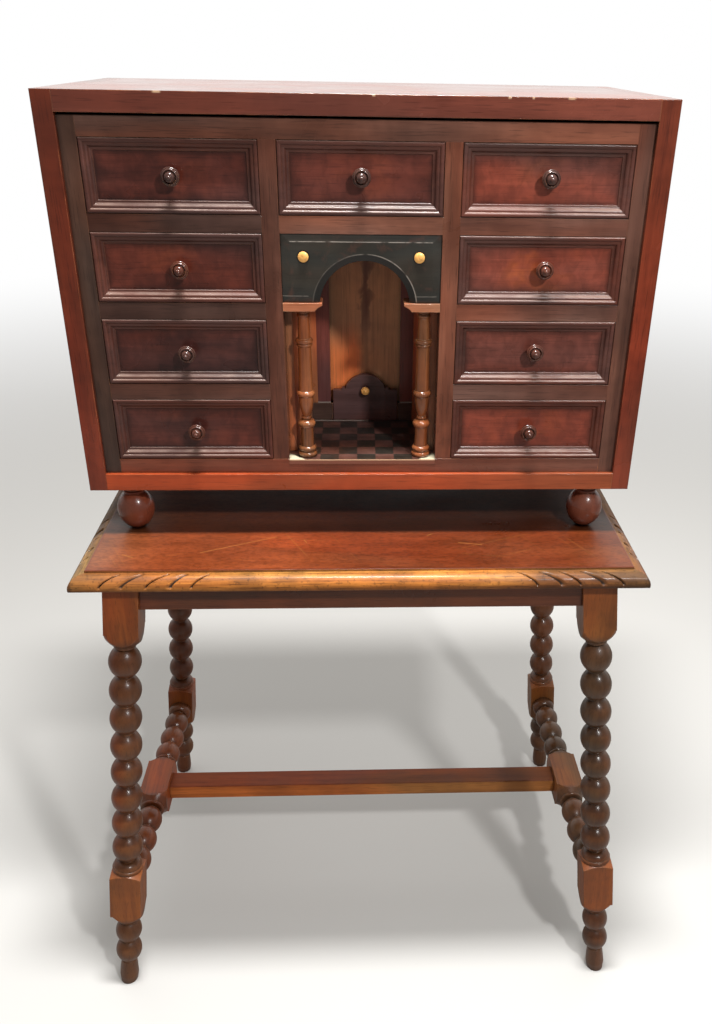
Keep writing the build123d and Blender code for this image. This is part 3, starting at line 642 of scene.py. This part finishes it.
class VARGUENO_OT_table_top(Operator):
    """Table top with its carved thumb moulding"""
    bl_idname = "vargueno.table_top"
    bl_label = "Table Top"

    def execute(self, context):
        f = Finish("table_top")
        lip_width = context.scene.vargueno_sizes.lip
        low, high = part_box("table_top")
        x, y, z = f.axes()
        in_x = f.minus(high.x, f.size(x))
        in_y = f.minus(high.y, f.size(y))
        inset = f.math("MINIMUM", in_x, in_y)
        inside = f.step(inset, lip_width - 0.2 * MM, lip_width + 0.4 * MM)
        board, pore, patina = self.board(f, x, y)
        scuffs = f.product(f.scratches(0.15, -0.4, 1.1), 0.3)
        scuffs = f.most(scuffs, *[f.line(ends, 0.8 * MM) for ends in SCRATCHES])
        scuffs = f.product(scuffs, f.step(y, *SCUFFED))
        board = f.mix(f.product(scuffs, 0.35), board, tone("lip"))
        base = f.mix(inside, self.lip(f, x, y, z, in_x, in_y, low.z), board)
        # painted shade: a dark line on the board along the quirk inside the lip
        line = f.product(f.step(inset, lip_width + 3.5 * MM, lip_width + 0.5 * MM), inside)
        base = f.mix(f.product(line, 0.7), base, deeper("top"))
        # soiling and painted shade darken the corners
        base = f.grime_and_shade(base, 4 * MM, 0.8)
        shine = f.plus(f.sheen(patina, 0.2, 0.34), f.product(scuffs, 0.2))
        shine = f.plus(shine, f.step(inside, 0.0, 1.0, 0.24, 0.06))
        shine = f.plus(shine, f.step(y, *DUSTY_CASE, 0.0, 0.3))
        finish = f.done(base, shine, pore, 0.04 * MM, None, 0.15, specular=0.3)
        piece("table_top_carved", table_top(), "stand", finish, "table_top")
        return {"FINISHED"}

    def board(self, f, x, y):
        """Flat of the board: darker to the right, greyer at its ends as a painted reflection of a pale wall,
        deep and red under the cabinet as unfaded wood in the cabinet's painted shadow.
        """
        board, pore, patina = f.wood("top", "X", 4.0, 0.45, 0.8, 0.3, hue=0.5)
        fleck = f.noise((170.0, 430.0, 430.0), 2.0, 0.55, 0.3, (1.0, 4.0, 0.0))
        figure = f.noise((26.0, 60.0, 60.0), 5.0, 0.65, 0.7, (7.0, 1.0, 0.0))
        shade = f.product(f.step(fleck, 0.4, 0.52, 0.78, 1.05), f.step(figure, 0.36, 0.62, 0.9, 1.1))
        board = f.tint(board, shade)
        board = f.tint(board, f.step(x, *SHADED, 1.0, 0.6))
        # painted reflection of a pale wall: greyer, less red ends
        reflecting_ends = f.most(f.step(x, *REFLECTING_LEFT), f.step(x, *REFLECTING_RIGHT))
        board = f.mix(reflecting_ends, board, f.times(board, ENDS_REFLECTION_TINT))
        # unfaded wood and the cabinet's painted shadow under the cabinet
        board = f.mix(f.step(y, *UNDER_CASE), board, f.times(board, UNFADED_AND_SHADOWED))
        # the cabinet's painted shadow deepens further back
        return f.tint(board, f.step(y, *DEEPER_CASE_SHADOW, 1.0, 0.75)), pore, patina

    def lip(self, f, x, y, z, in_x, in_y, foot):
        """Moulding: golden in front, dark at the corners, sides and back, in painted shade on its lower half
        and near black with painted shade in the carved cuts.
        """
        dark = f.most(f.step(x, *LIP_RIGHT, 0.0, 0.7), f.step(x, *LIP_LEFT, 0.0, 0.5),
                      f.step(in_x, 8 * MM, 2 * MM, 0.0, 0.85), f.step(y, *LIP_BACK, 0.0, 0.8))
        rim = f.mix(dark, f.tint(tone("lip"), f.step(x, *LIP_PALE, 1.15, 0.82)), tone("lip_dark"))
        lip_x, _, _ = f.wood("lip", "X", 9.0, 0.9, 2.2, 0.6, rim)
        lip_y, _, _ = f.wood("lip", "Y", 10.0, 0.9, 2.2, 0.6, rim)
        lip = f.mix(f.step(f.minus(in_y, in_x), -0.3 * MM, 0.3 * MM), lip_x, lip_y)
        # painted shade: darker on the lower half of the round, lighter at its top
        lip = f.tint(lip, f.step(z, foot + 2 * MM, foot + 11 * MM, 0.6, 1.05))
        speck = f.noise(260.0, 2.0, 0.6, 0.0, (2.0, 2.0, 2.0))
        stain = f.noise((32.0, 32.0, 60.0), 4.0, 0.62, 0.4, (3.0, 0.0, 1.0))
        shade = f.product(f.step(speck, 0.33, 0.43, 0.66, 1.06), f.step(stain, 0.36, 0.6, 0.8, 1.14))
        lip = f.tint(lip, shade)
        cut = f.node("ShaderNodeAttribute", attribute_name="carved").outputs["Fac"]
        # painted shade: near black in the depth of the carved cuts
        return f.mix(f.step(cut, 0.3, 0.85, 0.0, 0.95), lip, CUT_SHADE)


class VARGUENO_OT_stand(Operator):
    """Legs, aprons and stretchers"""
    bl_idname = "vargueno.stand"
    bl_label = "Stand"

    def execute(self, context):
        dress(self.turning("leg", "Z", 1.0, LEG_BLOCKS),
              "leg_front_left", "leg_front_right", "leg_rear_left", "leg_rear_right")
        dress(self.turning("stretcher", "Y", 3.0, STRETCHER_BLOCKS), *pair("stretcher"))
        # painted shade: the cross rail darker on its upper face
        dress(polished("cross", "cross", "X", 2.0, 0.6, wear=0.5, rough=(0.45, 0.6), coat=0.0,
                       fade=(2, *CROSS_TOP_SHADE, (1.0, 1.0, 1.0), (0.38, 0.25, 0.16))), "stretcher_cross")
        dress(polished("apron", "apron", "X", 2.5, 0.6), "apron_front", "apron_back")
        dress(polished("apron_side", "apron", "Y", 2.5, 0.6), *pair("apron"))
        return {"FINISHED"}

    def turning(self, name, grain, seed, blocks):
        """Turned work: dark in the necks between the beads with soiling and painted shade, rubbed on the
        crowns, lighter on the blocks.
        """
        f = Finish(name)
        open_sky = f.node("ShaderNodeAmbientOcclusion", {"Distance": 9 * MM}, samples=6).outputs["AO"]
        along = f.axes()["XYZ".index(grain)]
        light = f.most(f.step(open_sky, 0.62, 0.97, 0.0, 0.2),
                       *[f.near(along, (start + stop) / 2 * MM, (stop - start) / 2 * MM, 0.75)
                         for start, stop in blocks])
        body = f.mix(light, tone("stand"), tone("block"))
        base, pore, patina = f.wood("stand", grain, seed, 0.55, 1.6, 0.5, body)
        edge, rounded = f.edges(1.8 * MM)
        base = f.rubbed(base, tone("worn"), edge, 0.4, seed)
        # soiling and painted shade: darker in the necks, where little open sky reaches
        base = f.tint(base, f.step(open_sky, 0.1, 0.6, 0.35, 1.0))
        side = f.mix(f.step(f.axes()[0], -SIDE_DRIFT, SIDE_DRIFT), LEFT_LEGS, RIGHT_LEGS)
        shine = f.plus(f.sheen(patina, 0.24, 0.4), f.product(light, 0.2))
        return f.done(f.times(base, side), shine, pore, 0.05 * MM, rounded, 0.2, specular=0.35)


class VARGUENO_OT_case(Operator):
    """Case boards and ball feet"""
    bl_idname = "vargueno.case"
    bl_label = "Case"

    def execute(self, context):
        dress(self.top(), "case_top")
        dress(polished("case_bottom", "case_bottom", "X", 5.5, 0.5), "case_bottom")
        dress(polished("case_side", "case_side", "Z", 6.0, 0.6, cloud=0.7, rough=(0.16, 0.3), wear=0.4,
                       coat=0.5, fade=(2, *CASE_RISE, (1.15, 0.95, 0.85), (0.74, 0.9, 0.98))),
              *pair("case_side"))
        dress(polished("ball", "ball", "Z", 7.0, 0.5, rough=(0.24, 0.36), coat=0.4), "ball_feet")
        dress(bare("back", "X"), "case_back")
        dress(bare("runner", "Y", 2.0), "dust_board", "drawer_runners")
        return {"FINISHED"}

    def top(self):
        """Polished board with pale chips out of its front edge."""
        low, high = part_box("case_top")
        f = Finish("case_top")
        base, pore, patina = f.wood("case_top", "X", 5.0, 0.55, cloud=0.35, hue=0.35)
        x, y, z = f.axes()
        edge, rounded = f.edges(1.4 * MM)
        base = f.rubbed(base, tone("worn"), edge, 0.6, 5.0)
        chips = f.most(0.0, *[f.near(x, place * MM, width * MM) for place, width in NICKS])
        ragged = f.product(f.noise((500.0, 100.0, 100.0)), CHIP_RAGGED)
        front = f.step(f.minus(y, ragged), low.y + CHIP_DEPTH, low.y)
        upper = f.step(z, *(high.z - drop for drop in CHIP_DROP))
        chips = f.product(chips, f.product(front, upper))
        # soiling and painted shade darken the corners
        base = f.grime_and_shade(f.mix(f.product(chips, 0.7), base, tone("chip")), strength=0.5)
        shine = f.sheen(patina, 0.16, 0.3)
        return f.done(base, shine, pore, 0.06 * MM, rounded, 0.5, specular=0.3)


class VARGUENO_OT_face_frame(Operator):
    """Stiles, rails and partitions round the drawers"""
    bl_idname = "vargueno.face_frame"
    bl_label = "Face Frame"

    def execute(self, context):
        # painted light: each board is darker on the left and brighter and redder on the right, as light from
        # the right-hand lamp falls off
        for name, grain, seed, left, right, nodes in (
                ("stile", "Z", 8.0, (0.62, 0.66, 0.65), (1.25, 0.95, 0.83), pair("stile")),
                ("partition", "Z", 8.5, (0.73, 0.74, 0.82), (2.25, 1.68, 1.33), pair("partition")),
                ("top_rail", "X", 9.2, (1.15, 1.1, 1.1), (2.08, 1.85, 1.73), ("rail_top", "rail_centre")),
                ("cross_rail", "X", 9.0, (0.61, 0.52, 0.51), (1.65, 1.4, 1.36), pair("rails"))):
            dress(polished(name, "frame", grain, seed, 0.65, cloud=0.6, radius=0.8 * MM, wear=0.3, dirt_and_shade=0.75,
                           fade=(0, -FRAME_HALF, FRAME_HALF, left, right)), *nodes)
        dress(polished("bottom_rail", "frame_low", "X", 9.5, 0.55, wear=0.8, dirt_and_shade=0.75), "rail_bottom")
        return {"FINISHED"}


class VARGUENO_OT_drawers(Operator):
    """Nine drawers with dark mouldings and rubbed panels, and their knobs"""
    bl_idname = "vargueno.drawers"
    bl_label = "Drawers"

    def execute(self, context):
        for seed, (name, (redness, rubbed)) in enumerate(FRONTS.items()):
            dress(self.front("drawer_" + name, seed * 3.7, redness, rubbed), "drawer_" + name)
        knob = polished("knob", "knob", "Y", 11.0, 0.4, radius=0.35 * MM, rough=(0.2, 0.32), wear=1.0,
                        coat=0.7, dirt_and_shade=0.15)
        dress(knob, *["knob_" + name for name in FRONTS])
        return {"FINISHED"}

    def front(self, name, seed, redness, rubbed):
        """Sunk panel in a dark moulding, on a box of bare boards."""
        low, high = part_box(name)
        half = (high - low) / 2
        panel_inset = bpy.context.scene.vargueno_sizes.panel_inset
        f = Finish(name)
        middle = ((low.x + high.x) / 2, low.y, (low.z + high.z) / 2)
        local = f.vector("SUBTRACT", f.place, middle)[0]
        x, y, z = f.split(local)
        in_x = f.minus(half.x - panel_inset, f.size(x))
        in_z = f.minus(half.z - panel_inset, f.size(z))
        nearest = f.math("MINIMUM", in_x, in_z)
        inside = f.step(nearest, -0.2 * MM, 0.3 * MM)
        panel, pore, patina = self.panel(f, local, nearest, seed, redness, rubbed)
        edge, rounded = f.edges(0.5 * MM, 0.99, 0.9)
        front = f.mix(inside, self.moulding(f, edge, seed, redness), panel)
        raw, _, _ = f.wood("raw", "Y", seed, 0.75, 1.4, 0.4, hue=0.3)
        box = f.most(f.step(y, *FRONT_BACK), self.tails(f, x, y, z, half))
        # soiling and painted shade darken the corners
        base = f.grime_and_shade(f.mix(box, front, raw), 3.5 * MM, 0.6)
        rough = f.plus(f.sheen(patina, 0.24, 0.36), f.step(inside, 0.0, 1.0, 0.12, 0.0))
        return f.done(base, rough, pore, 0.04 * MM, rounded, 0.25, 0.22, 0.35)

    def panel(self, f, local, nearest, seed, redness, rubbed):
        """Panel of its own redness, mottled, dark towards its edges and orange where hands rub it."""
        cloud = f.noise((16.0, 16.0, 26.0), 3.0, 0.6, 0.5, (seed * 2.0, 1.0, seed))
        red = f.step(cloud, 0.35, 0.65, redness - 0.1, redness + 0.1)
        body = f.mix(red, tone("panel_dark"), tone("panel_red"))
        away = f.vector("LENGTH", local)["Value"]
        patch = f.product(f.step(away, *RUBBED_PATCH), f.step(cloud, 0.42, 0.66))
        body = f.mix(f.product(patch, rubbed), body, tone("glow"))
        panel, pore, patina = f.wood("panel_red", "X", seed, 0.5, 1.2, 0.35, body)
        panel = f.tint(panel, f.step(nearest, -0.5 * MM, 5 * MM, 0.62, 1.0))
        mottle = f.noise((95.0, 60.0, 60.0), 4.0, 0.6, 0.6, (seed, seed, 2.0))
        # darker towards the panel's edges, in clouds
        edge_reach = f.plus(nearest, f.product(cloud, 24 * MM))
        shade = f.product(f.step(mottle, 0.36, 0.62, 0.86, 1.12), f.step(edge_reach, 8 * MM, 26 * MM, 0.66, 1.06))
        return f.tint(panel, shade), pore, patina

    def moulding(self, f, edge, seed, redness):
        """Dark moulding, rubbed along its edges, with pale powdery soiling and a painted highlight on its upper
        sides.
        """
        red, green, blue, alpha = tone("moulding")
        body = (red * (1 + 0.25 * redness), green * (1 + 0.1 * redness), blue, alpha)
        rim, _, _ = f.wood("moulding", "X", seed, 0.5, 1.5, 0.5, body)
        rim = f.rubbed(rim, tone("worn", 0.7), edge, 0.45, seed)
        # dust and a painted highlight on the faces that look up
        dust_and_sheen_amount = f.step(f.noise((34.0, 34.0, 90.0), 4.0, 0.6, 0.0, (seed, 5.0, 5.0)), 0.38, 0.62, 0.2, 0.55)
        return f.mix(f.product(f.upper(), dust_and_sheen_amount), rim, tone("dust_and_sheen"))

    def tails(self, f, x, y, z, half):
        """1 on the ends of the sides' dovetails, which narrow from the lap to the front's back."""
        above = f.minus(f.plus(z, half.z), TAILS_UP)
        off = f.size(f.minus(f.size(above), TAILS_APART))
        reach = f.minus(TAIL_HALF, f.product(f.minus(y, FRONT_LAP), TAIL_TAPER))
        tail = f.step(f.minus(off, reach), 2 * BLUR, -2 * BLUR)
        tail = f.product(tail, f.step(y, FRONT_LAP - BLUR, FRONT_LAP + BLUR))
        in_side = f.minus(half.x, f.size(x))
        return f.product(tail, f.step(in_side, SIDE_BOARD + BLUR, SIDE_BOARD - BLUR))


class VARGUENO_OT_niche(Operator):
    """Niche: chequered floor, walls, pale back, arch board, imposts, columns and studs"""
    bl_idname = "vargueno.niche"
    bl_label = "Niche"

    def execute(self, context):
        dress(self.chequer(), "niche_floor")
        dress(polished("step", "frame", "X", 12.0, 0.6), "niche_step")
        dress(self.walls(), *pair("niche_wall"))
        dress(self.back_panel(), "niche_back")
        dress(self.arch(), "arch_board")
        # pale rubbed edges that stand also for a painted highlight on the imposts
        dress(polished("impost", "impost", "X", 16.0, 0.4, 1.6, radius=1.0 * MM, wear=1.0, worn="chip"),
              *pair("impost"))
        # pale rubbed ring crests, also a painted highlight; soiling and painted shade darken the grooves
        dress(polished("column", "column", "Z", 17.0, 0.65, 2.0, 0.7, rough=(0.14, 0.24),
                       radius=0.6 * MM, wear=1.0, coat=0.8, dirt_and_shade=0.9, worn="chip"), *pair("column"))
        dress(polished("secret", "secret", "X", 18.0, 0.5, 1.4, radius=0.8 * MM), "secret_drawer")
        dress(self.bone(), "bone_studs", "secret_knob")
        return {"FINISHED"}

    def bone(self):
        """Bone with darker spots."""
        f = Finish("bone")
        spots = f.noise(300.0)
        # soiling and painted shade darken the corners
        base = f.grime_and_shade(f.mix(f.step(spots, 0.5, 0.7), tone("bone"), tone("bone", 0.7)), 2 * MM, 0.6)
        return f.done(base, 0.3, spots, 0.05 * MM)

    def chequer(self):
        """Squares of dark and red veneer, worn at the front edge, with chalk in its corners and a painted
        highlight along the foot of the step on the left.
        """
        f = Finish("chequer")
        side = bpy.context.scene.vargueno_sizes.square
        low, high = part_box("niche_floor")
        x, y, z = f.axes()
        column = f.math("FLOOR", f.math("DIVIDE", f.plus(x, CHEQUER_LINE), side))
        row = f.math("FLOOR", f.math("DIVIDE", f.minus(y, low.y - CHEQUER_FRONT), side))
        odd = f.size(f.math("MODULO", f.plus(column, row), 2.0))
        uneven = f.noise((48.0, 48.0, 1.0), 2.0)
        body = f.mix(odd, tone("square_dark"), tone("square_red"))
        body = f.tint(body, f.step(uneven, 0.3, 0.7, 0.7, 1.25))
        base, pore, _ = f.wood("square_red", "X", 21.0, 0.5, 3.0, 0.6, body)
        corner = f.plus(f.minus(f.size(x), CHALK_CORNER[0]), f.minus(low.y + CHALK_CORNER[1], y))
        ragged = f.plus(corner, f.product(f.noise((120.0, 120.0, 1.0)), 14 * MM))
        chalk = f.product(f.step(ragged, 30 * MM, 34 * MM), f.step(y, low.y + 20 * MM, low.y + 10 * MM))
        base = f.mix(chalk, base, tone("chalk"))
        arris = f.step(z, high.z - 1.4 * MM, high.z - 0.6 * MM, 0.0, 0.75)
        edge = f.mix(arris, tone("frame_low"), tone("chip"))
        base = f.mix(f.step(y, low.y + 1.0 * MM, low.y + 0.5 * MM), base, edge)
        # painted highlight: a pale line along the foot of the step, on the lit left part; soiling and painted
        # shade darken the corners
        joint = f.product(f.near(y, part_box("niche_step")[0].y - 1.5 * MM, 3 * MM), f.step(x, 14 * MM, 2 * MM))
        base = f.mix(f.product(joint, 0.8), f.grime_and_shade(base), tone("arris"))
        return f.done(base, 0.38, pore, 0.05 * MM)

    def walls(self):
        """Orange veneer with the grain upright; the strips beside the ochre panel are plum, with a painted
        highlight along their foot on the step.
        """
        f = Finish("wall")
        x, y, z = f.axes()
        strip = f.step(y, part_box("niche_step")[0].y + 0.2 * MM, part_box("niche_step")[0].y + 0.6 * MM)
        strip = f.product(strip, f.step(x, STRIP_EDGE - 0.2 * MM, STRIP_EDGE + 0.2 * MM))
        body = f.mix(strip, tone("wall"), tone("plum"))
        base, pore, patina = f.wood("wall", "Z", 13.0, 0.45, 2.0, 0.4, body)
        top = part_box("niche_step")[1].z
        # painted highlight: a pale line at the foot of the strip on the step; soiling and painted shade darken
        # the corners
        foot = f.product(f.step(z, top + 1.6 * MM, top + 1.2 * MM), strip)
        base = f.mix(f.product(foot, 0.8), f.grime_and_shade(base, 9 * MM), tone("arris"))
        return f.done(base, f.sheen(patina, 0.26, 0.4), pore, 0.05 * MM, None, 0.25)

    def back_panel(self):
        """Ochre panel, grain upright, with a dark knotty split down the middle that wanders and fades out, and
        a painted pool of lamp light on its low left part.
        """
        f = Finish("back_panel")
        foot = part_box("niche_back")[0].z
        base, pore, patina = f.wood("back", "Z", 14.0, 0.4, 2.2, 0.35, hue=0.2)
        x, _, z = f.axes()
        wander = f.product(f.minus(f.noise((0.0, 0.0, 14.0), 3.0), 0.5), SPLIT_WANDER)
        off = f.size(f.minus(f.minus(x, wander), BACK_SPLIT))
        knots = f.noise((90.0, 1.0, 45.0), 2.0, 0.5, 0.5, (0.0, 3.0, 0.0))
        width = f.step(knots, 0.35, 0.65, *SPLIT_WIDTH)
        # painted light: a pool of lamp light on the low left part
        glow = f.product(f.step(x, 6 * MM, -10 * MM), f.step(z, foot + 125 * MM, foot + 75 * MM))
        base = f.mix(glow, base, f.times(base, PAINTED_LIGHT_PATCH))
        dark = f.step(f.math("DIVIDE", off, width), 1.5, 0.0)
        dark = f.product(dark, f.step(z, foot + 90 * MM, foot + 140 * MM, 0.2, 0.75))
        # soiling and painted shade darken the corners
        base = f.grime_and_shade(f.mix(dark, base, deeper("plum")), 9 * MM)
        return f.done(base, f.sheen(patina, 0.4, 0.6), pore, 0.08 * MM, None, 0.1)

    def reach(self, f, across, up):
        """Distance in the board's plane."""
        flat = f.node("ShaderNodeCombineXYZ", {0: across, 2: up}).outputs[0]
        return f.vector("LENGTH", flat)["Value"]

    def arch(self):
        """Blackened board mottled with brown; its bevel is in painted shade inside the arch, its bevels'
        arrises are thin pale lines of wear and painted highlight, brighter to the right, and each bone stud has
        a dark ring of soiling and painted shade.
        """
        f = Finish("arch")
        base, pore, patina = f.wood("ebony", "X", 15.0, 0.4, 1.0, 0.5)
        brown = f.noise(60.0, 4.0, 0.65, 0.4, (4.0, 4.0, 4.0))
        base = f.mix(f.step(brown, 0.52, 0.68, 0.0, 0.6), base, tone("frame", 0.6))
        x, _, z = f.axes()
        across, up = f.minus(x, ARCH_MIDDLE[0]), f.minus(z, ARCH_MIDDLE[1])
        away = self.reach(f, across, up)
        # painted shade on the arch's bevel, inside its outer arris
        base = f.tint(base, f.step(away, ARCH_BEVEL, ARCH_BEVEL - 1.5 * MM, 1.0, 0.25))
        # wear and painted highlight: pale lines on the arrises, brighter to the right
        ring = f.product(f.near(away, ARCH_BEVEL, 0.75 * MM), f.step(across, -30 * MM, 20 * MM, 0.22, 1.0))
        off = f.size(x)
        head = f.product(f.near(z, FIELD_HEAD, 0.6 * MM), f.step(off, HEAD_TO + MM, HEAD_TO - MM))
        foot = f.product(f.near(z, FIELD_FOOT, 0.55 * MM), f.step(off, FOOT_FROM - MM, FOOT_FROM + MM))
        lines = f.most(ring, f.most(head, f.product(foot, 0.55)))
        lines = f.product(lines, f.step(f.noise(70.0), 0.32, 0.52))
        base = f.mix(f.product(lines, 0.75), base, tone("arris"))
        stud = self.reach(f, f.minus(off, STUD_PLACE[0]), f.minus(z, STUD_PLACE[1]))
        # soiling and painted shade: a dark ring round each stud
        base = f.tint(base, f.step(stud, STUD_RADIUS + 0.4 * MM, STUD_RADIUS + 2 * MM, 0.2, 1.0))
        _, rounded = f.edges(0.7 * MM)
        # soiling and painted shade darken the corners
        return f.done(f.grime_and_shade(base), f.sheen(patina, 0.3, 0.45), pore, 0.08 * MM, rounded, 0.3)


class VARGUENO_PT_panel(Panel):
    """Lists the steps that dress the vargueno"""
    bl_label = "Vargueno"
    bl_idname = "VARGUENO_PT_panel"
    bl_space_type = "VIEW_3D"
    bl_region_type = "UI"
    bl_category = "Vargueno"

    def draw(self, context):
        for step in STEPS:
            self.layout.operator(step.bl_idname)
        for group in (context.scene.vargueno_sizes, context.scene.vargueno_colours):
            for key in group.__annotations__:
                self.layout.prop(group, key)


STEPS = (VARGUENO_OT_stage, VARGUENO_OT_table_top, VARGUENO_OT_stand, VARGUENO_OT_case,
         VARGUENO_OT_face_frame, VARGUENO_OT_drawers, VARGUENO_OT_niche)
CLASSES = (VarguenoSizes, VarguenoColours, *STEPS, VARGUENO_PT_panel)


def register():
    for cls in CLASSES:
        bpy.utils.register_class(cls)
    bpy.types.Scene.vargueno_sizes = PointerProperty(type=VarguenoSizes)
    bpy.types.Scene.vargueno_colours = PointerProperty(type=VarguenoColours)


def unregister():
    del bpy.types.Scene.vargueno_sizes
    del bpy.types.Scene.vargueno_colours
    for cls in reversed(CLASSES):
        bpy.utils.unregister_class(cls)


def main():
    register()
    for step in STEPS:
        group, name = step.bl_idname.split(".")
        getattr(getattr(bpy.ops, group), name)()


if __name__ == "__main__":
    main()
